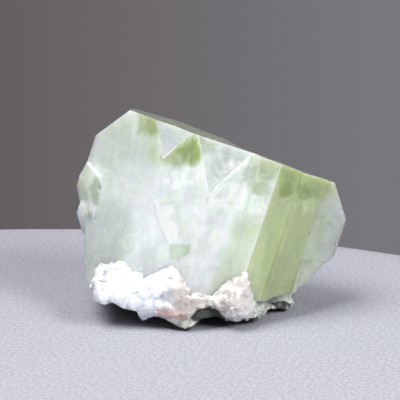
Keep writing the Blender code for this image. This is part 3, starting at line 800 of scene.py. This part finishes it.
def stilbite_material():
    """White blades, bluish on the left, pink low down and duller between crust and tuft."""
    nodes = Nodes(bpy.data.materials.new("stilbite_pearl"))
    place = nodes.frame_place(PICTURE)
    parts = nodes.add("SeparateXYZ", {"Vector": place}).outputs
    across, up = parts[0], parts[2]
    cloud = nodes.noise(place, 0.4, 3.0, 0.5)
    grain = nodes.noise(place, 2.6, 4.0, 0.65)
    height = nodes.swing(up, cloud, 4.0)
    low = nodes.times(nodes.step(height, -25.4, -26.6), nodes.step(across, -11.5, -9.5))
    low = nodes.times(low, nodes.step(across, -2.5, -4.5))
    foot = nodes.step(height, -27.8, -28.8)
    blue = nodes.step(nodes.plus(across, nodes.times(cloud, 6.0)), -2.0, -7.0)
    colour = nodes.mix(blue, (0.67, 0.645, 0.62), (0.78, 0.82, 0.885))
    between = nodes.times(nodes.step(across, -6.5, -4.0), nodes.step(across, 2.6, 1.4))
    pits = nodes.step(grain, 0.55, 0.35)
    for share, shade in ((nodes.times(between, 0.95), (0.52, 0.48, 0.44)),
                         (nodes.times(low, 0.8), (0.74, 0.50, 0.45)),
                         (nodes.times(foot, low), (0.55, 0.56, 0.52)),
                         (nodes.times(pits, 0.35), (0.66, 0.63, 0.60))):
        colour = nodes.mix(share, colour, shade)
    normal = nodes.bump(grain, 0.0003, 0.6)
    return nodes.finish(Base_Color=colour, Roughness=0.42, Normal=normal, Subsurface_Weight=1.0,
                        Subsurface_Radius=(1.0, 0.95, 0.9), Subsurface_Scale=0.003)


def basalt_material():
    """Grey-green rock with pale specks and dark patches, near-black painted shade where it faces
    down and in a hollow, pink where the stilbite thins out.
    """
    nodes = Nodes(bpy.data.materials.new("basalt_rough"))
    place = nodes.frame_place(PICTURE)
    grain = nodes.noise(place, 1.7, 4.0, 0.7)
    cloud = nodes.noise(place, 0.25, 3.0, 0.5)
    speck = nodes.noise(place, 3.4, 2.0, 0.6)
    colour = nodes.mix(nodes.step(grain, 0.32, 0.62), (0.24, 0.26, 0.23), (0.70, 0.74, 0.67))
    # Pale specks, dark patches, then near-black painted shade where the rock faces down and in the
    # hollow
    for mask, amount, shade in ((nodes.step(speck, 0.54, 0.64), 0.75, (0.62, 0.65, 0.60)),
                                (nodes.step(cloud, 0.55, 0.7), 0.5, (0.08, 0.14, 0.07)),
                                (nodes.attribute("under"), 0.95, (0.03, 0.035, 0.03))):
        colour = nodes.mix(nodes.times(mask, amount), colour, shade)
    rosy = nodes.mix(grain, (0.60, 0.49, 0.45), (0.86, 0.76, 0.72))
    colour = nodes.mix(nodes.attribute("pink"), colour, rosy)
    normal = nodes.bump(nodes.plus(grain, nodes.times(speck, 0.4)), 0.0004, 0.8)
    return nodes.finish(Base_Color=colour, Roughness=0.85, Normal=normal)


def melt(points, triangles, voxel, rounds):
    """Remesh a solid at an even cell size and soften it a little."""
    mesh = bpy.data.meshes.new("melt")
    mesh.from_pydata(points.tolist(), [], triangles.tolist())
    thing = add_object("melt", mesh)
    remesh = thing.modifiers.new("remesh", "REMESH")
    remesh.mode = "VOXEL"
    remesh.voxel_size = voxel
    smooth = thing.modifiers.new("smooth", "SMOOTH")
    smooth.factor = 0.5
    smooth.iterations = rounds
    graph = bpy.context.evaluated_depsgraph_get()
    made = bpy.data.meshes.new_from_object(thing.evaluated_get(graph))
    bpy.data.objects.remove(thing, do_unlink=True)
    return read_mesh(made)


# Where the stilbite is and how far it stands out: (mm, soft rim, outline in picture pixels)
CRUST_PARTS = [
    (1.4, 2.5, [(96, 270), (103, 265), (112, 264), (116, 272), (118, 300), (104, 304), (95, 300)]),
    (1.1, 2.5, [(110, 266), (122, 263), (130, 270), (130, 300), (124, 308), (111, 303)]),
    (0.9, 3.0, [(126, 290), (136, 290), (148, 292), (162, 284), (164, 314), (154, 316), (143, 319),
                (139, 316), (136, 311), (124, 308)]),
    (1.5, 3.0, [(154, 278), (160, 270), (172, 268), (180, 276), (186, 290), (188, 304), (184, 318),
                (160, 316), (150, 300)]),
    (1.3, 2.0, [(176, 296), (190, 293), (202, 295), (212, 298), (212, 306), (203, 309), (196, 312),
                (190, 317), (184, 320), (178, 314)]),
    (0.7, 1.5, [(136, 310), (156, 310), (154, 315), (143, 320), (139, 317)]),
    (0.5, 1.0, [(162, 310), (192, 310), (191, 317), (187.5, 330), (184, 330), (165, 319)]),
]
TUFT_PARTS = [
    (2.2, 3.0, [(210, 298), (220, 288), (233, 279), (247, 274), (251, 288), (252, 299), (255, 310),
                (252, 315), (246, 319), (231, 318), (222, 314), (212, 306)]),
    (3.0, 5.0, [(224, 290), (240, 282), (246, 300), (247, 312), (230, 312), (220, 303)]),
]

# How far (pixels) the sheet's rays go past its parts, how far (mm) it may leave its carriers
# from one ray to the next, how far it reaches into them, and how deep it is sunk or cut away
SHEET_MARGIN = 6.0
SHEET_DOWN = 0.15
SHEET_LEFT = 0.3
SHEET_ROOT = 1.2
SHEET_SUNK = 0.5
SHEET_CUT = -0.45
NO_HIT = 1e6


def sheet(parts, carriers, seed):
    """A sheet of the given parts that lies on what the picture shows of its carriers."""
    points, triangles = [], []
    for name in carriers:
        some, faces = read_node(name)
        triangles.append(faces + sum(len(p) for p in points))
        points.append(some)
    behind = bvhtree.BVHTree.FromPolygons(np.vstack(points).tolist(), np.vstack(triangles).tolist())
    eye = PICTURE @ Vector((0, -CAMERA_DISTANCE, 0))
    corners = np.vstack([outline for _, _, outline in parts])
    columns, rows = (np.arange(low - SHEET_MARGIN, high + SHEET_MARGIN) for low, high in
                     zip(corners.min(axis=0), corners.max(axis=0)))
    pixel = np.stack(np.meshgrid(columns, rows), axis=2)
    rays = np.empty(pixel.shape[:2] + (3,))
    depth = np.full(pixel.shape[:2], NO_HIT)
    for j in range(len(rows)):
        for i in range(len(columns)):
            spot = Vector(((columns[i] - MIDDLE) * PIXEL, 0, (MIDDLE - rows[j]) * PIXEL))
            ray = (PICTURE @ spot - eye).normalized()
            rays[j, i] = ray
            hit = behind.ray_cast(eye, ray)[3]
            if hit is not None:
                depth[j, i] = hit
    for j in range(1, len(rows)):
        depth[j] = np.minimum(depth[j], depth[j - 1] + SHEET_DOWN)
    for i in range(len(columns) - 2, -1, -1):
        depth[:, i] = np.minimum(depth[:, i], depth[:, i + 1] + SHEET_LEFT)
    for _ in range(3):
        wide = np.pad(depth, 1, mode="edge")
        around = wide[:-2, 1:-1] + wide[2:, 1:-1] + wide[1:-1, :-2] + wide[1:-1, 2:]
        depth = (around + 2 * depth) / 6

    flat = pixel.reshape(-1, 2)
    level = np.column_stack([flat, 0 * flat[:, 0]])
    wander = 2.0 * np.stack([noise_at(level, 5.0, seed), noise_at(level, 5.0, seed + 1)], axis=1)
    stand = np.full(len(flat), -SHEET_SUNK)
    for thick, soft, outline in parts:
        cover = (thick + SHEET_SUNK) * inside(flat + wander, outline, soft)
        stand = np.maximum(stand, cover - SHEET_SUNK)
    eye = np.array(eye)
    front = eye + rays.reshape(-1, 3) * (depth.reshape(-1) - stand)[:, None]
    back = eye + rays.reshape(-1, 3) * (depth.reshape(-1) + SHEET_ROOT)[:, None]

    # Cells of the front, then the same cells behind it and walls about the outside
    count, wide = len(front), len(columns)
    kept = {}
    for j in range(len(rows) - 1):
        for i in range(wide - 1):
            loop = [j * wide + i, (j + 1) * wide + i, (j + 1) * wide + i + 1, j * wide + i + 1]
            if min(stand[k] for k in loop) > SHEET_CUT:
                for a, b in zip(loop, loop[1:] + loop[:1]):
                    kept[a, b] = loop
    triangles = []
    for (a, b), loop in kept.items():
        if loop[0] == a:
            triangles += [(loop[0], loop[1], loop[2]), (loop[0], loop[2], loop[3])]
            far = [k + count for k in loop]
            triangles += [(far[0], far[2], far[1]), (far[0], far[3], far[2])]
        if (b, a) not in kept:
            triangles += [(b, a, a + count), (b, a + count, b + count)]
    return np.vstack([front, back]), np.array(triangles)


# Lower rim of the stilbite crust, in picture pixels
CRUST_RIM = [(80, 300), (105, 304.5), (112.6, 302.4), (123.5, 308.5), (136.8, 311), (139, 317),
             (143, 320.6), (154, 316), (165, 319), (185, 330.5), (191, 317), (197, 310), (212, 306)]
RIM_LIFT = 0.92


def build_stilbite(node, seed):
    """The crust or the tuft: a sheet on its carriers, melted together and set with plates."""
    crust = node == "stilbite_crust"
    if crust:
        coarse, coarse_triangles = read_node(node)
        more, more_triangles = sheet(CRUST_PARTS, list(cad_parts), seed)
        coarse_triangles = np.vstack([coarse_triangles, more_triangles + len(coarse)])
        coarse = np.vstack([coarse, more])
    else:
        carriers = ["apophyllite_crystals", "basalt_matrix"]
        coarse, coarse_triangles = sheet(TUFT_PARTS, carriers, seed + 6)
    points, triangles = melt(coarse, coarse_triangles, voxel=0.25, rounds=3)
    outward = point_normals(points, triangles)
    plates = facets_at(points, 3.4 if crust else 1.9, seed)
    relief = (0.22 if crust else 0.30) * plates + 0.15 * facets_at(points, 1.1, seed + 1)
    relief += 0.04 * noise_at(points, 0.4, seed + 2)
    points = points + outward * (relief - 0.05)[:, None]
    if crust:
        pixel = picture_place(points)
        rim = np.interp(pixel[:, 0], [p[0] for p in CRUST_RIM], [p[1] for p in CRUST_RIM])
        lift = np.maximum(pixel[:, 1] - rim, 0.0) * PIXEL * RIM_LIFT
        up = np.array(PICTURE.to_3x3().col[2])
        points = points + lift[:, None] * up
    make_piece(node + "_pearl", points, triangles, node,
               bpy.data.materials.get("stilbite_pearl") or stilbite_material(), sharp=34.0)


# Where the basalt is pink, and the hollow that is painted dark as shade, in picture pixels
PINK = [(158, 308), (168, 304), (189, 298), (192, 288), (213, 292), (214, 301), (205, 304),
        (192, 306), (188, 320), (176, 318), (160, 314)]
SHADE_HOLLOW = [(188, 309), (200, 306), (216, 301), (228, 316), (222, 324), (196, 322), (189, 318)]


def build_basalt():
    """The rock: rough all over but flat where it rests."""
    coarse, coarse_triangles = read_node("basalt_matrix")
    points, triangles = refine(coarse, coarse_triangles, longest=0.55)
    outward = point_normals(points, triangles)
    relief = 0.30 * noise_at(points, 1.4, seed=21.0) + 0.16 * noise_at(points, 0.6, seed=22.0)
    calm = rise(points[:, 2], 0.02, 0.5)
    points = points + outward * ((relief - 0.1) * calm)[:, None]
    points[:, 2] = np.maximum(points[:, 2], 0.0)
    piece = make_piece("basalt", points, triangles, "basalt_matrix",
                       basalt_material(), sharp=40.0)
    pixel = picture_place(points)
    # Painted shade: near black where the rock faces down and in the hollow
    facing = outward[:, 2] + 0.25 * noise_at(points, 1.2, seed=23.0)
    under = np.maximum(rise(-facing, 0.05, 0.45), inside(pixel, SHADE_HOLLOW, 1.5))
    set_values(piece.data, "POINT", pink=inside(pixel, PINK, 1.5), under=under)


# Floor, light and camera

# Rings of the table top as radius and height (m), its sides and its middle
TABLE_RINGS = [(0.060, 0.0), (0.120, 0.0), (0.170, 0.0), (0.176, -0.0004), (0.180, -0.0018),
               (0.183, -0.0045), (0.184, -0.009), (0.184, -0.05)]
TABLE_SIDES = 192
TABLE_MIDDLE = (-0.049, -0.086, 0.0)
CLOTH_DARK = (0.25, 0.255, 0.29)
CLOTH_PALE = (0.455, 0.465, 0.525)


def build_floor():
    """A round table top under pale cloth, with a softly rounded rim."""
    bm = bmesh.new()
    centre = bm.verts.new((0, 0, 0))
    loops = []
    for radius, height in TABLE_RINGS:
        loops.append([bm.verts.new((radius * math.cos(a), radius * math.sin(a), height))
                      for a in np.linspace(0, 2 * math.pi, TABLE_SIDES, endpoint=False)])
    for i in range(TABLE_SIDES):
        after = (i + 1) % TABLE_SIDES
        bm.faces.new((centre, loops[0][i], loops[0][after]))
        for inner, outer in zip(loops, loops[1:]):
            bm.faces.new((inner[i], outer[i], outer[after], inner[after]))
    bmesh.ops.translate(bm, vec=TABLE_MIDDLE, verts=bm.verts)
    mesh = bpy.data.meshes.new("table")
    bm.to_mesh(mesh)
    bm.free()
    mesh.shade_smooth()
    floor = add_object("table", mesh)

    nodes = Nodes(bpy.data.materials.new("pale_cloth"))
    place = nodes.add("Mapping", {"Vector": nodes.add("TexCoord").outputs["Object"],
                                  "Rotation": (0, 0, 0.5), "Scale": (MM, MM, MM)}).outputs[0]
    waves = [nodes.add("TexWave", {"Vector": place, "Scale": 0.62, "Distortion": 0.6,
                                   "Detail": 2.0, "Detail Scale": 1.5},
                       bands_direction=axis).outputs["Fac"] for axis in ("X", "Y")]
    weave = nodes.times(waves[0], waves[1])
    slub = nodes.noise(place, 1.2, 3.0, 0.65)
    value = nodes.plus(nodes.times(weave, 0.35), nodes.times(slub, 0.65))
    colour = nodes.mix(nodes.step(value, 0.28, 0.56), CLOTH_DARK, CLOTH_PALE)
    mesh.materials.append(nodes.finish(Base_Color=colour, Roughness=0.9,
                                       Normal=nodes.bump(value, 0.0002, 0.3)))


def add_area(name, side, height, distance, size, power):
    """A soft round lamp at an angle to the side of the viewer's and a height, in degrees."""
    light = bpy.data.lights.new(name, "AREA")
    light.shape = "DISK"
    light.size = size
    light.energy = power
    lamp = add_object(name, light)
    turn, lift = math.radians(side), math.radians(height)
    flat = math.cos(lift)
    way = Vector((math.sin(turn) * flat, -math.cos(turn) * flat, math.sin(lift)))
    lamp.location = Vector((0, 0, 0.02)) + way * distance
    lamp.rotation_euler = (-way).to_track_quat("-Z", "Y").to_euler()


# The backdrop's colours at its left and right ends
BACKDROP = [(0.0, (0.118, 0.103, 0.107)), (1.0, (0.190, 0.184, 0.202))]


def build_world():
    """A plain grey backdrop that is darker on the left."""
    nodes = Nodes(bpy.data.worlds.new("studio"))
    place = nodes.add("TexCoord").outputs["Generated"]
    across = nodes.add("SeparateXYZ", {"Vector": place}).outputs[0]
    share = nodes.add("MapRange", {"Value": across, "From Min": -0.16, "From Max": 0.10})
    colour = nodes.ramp(share.outputs[0], BACKDROP)
    bpy.context.scene.world = nodes.finish("Background", Color=colour)


def build_camera():
    target = PICTURE.to_translation() / MM
    look = PICTURE.to_3x3() @ Vector((0, 1, 0))
    camera = bpy.data.cameras.new("camera")
    camera.lens = 144.0
    camera.sensor_width = 36.0
    camera.clip_start = 0.01
    holder = add_object("camera", camera)
    holder.location = target - look * (CAMERA_DISTANCE / MM)
    holder.rotation_euler = look.to_track_quat("-Z", "Y").to_euler()
    bpy.context.scene.camera = holder


build_camera()
build_world()
build_floor()
add_area("key", -42, 60, 0.80, 0.48, 6.4)
add_area("right", 46, 33, 0.85, 0.38, 7.0)
add_area("top", -60, 76, 0.85, 0.56, 2.2)
bpy.context.scene.view_settings.view_transform = "Standard"
bpy.context.scene.view_settings.look = "None"

build_crystals()
build_stilbite("stilbite_crust", 31.0)
build_stilbite("stilbite_tuft", 35.0)
build_basalt()
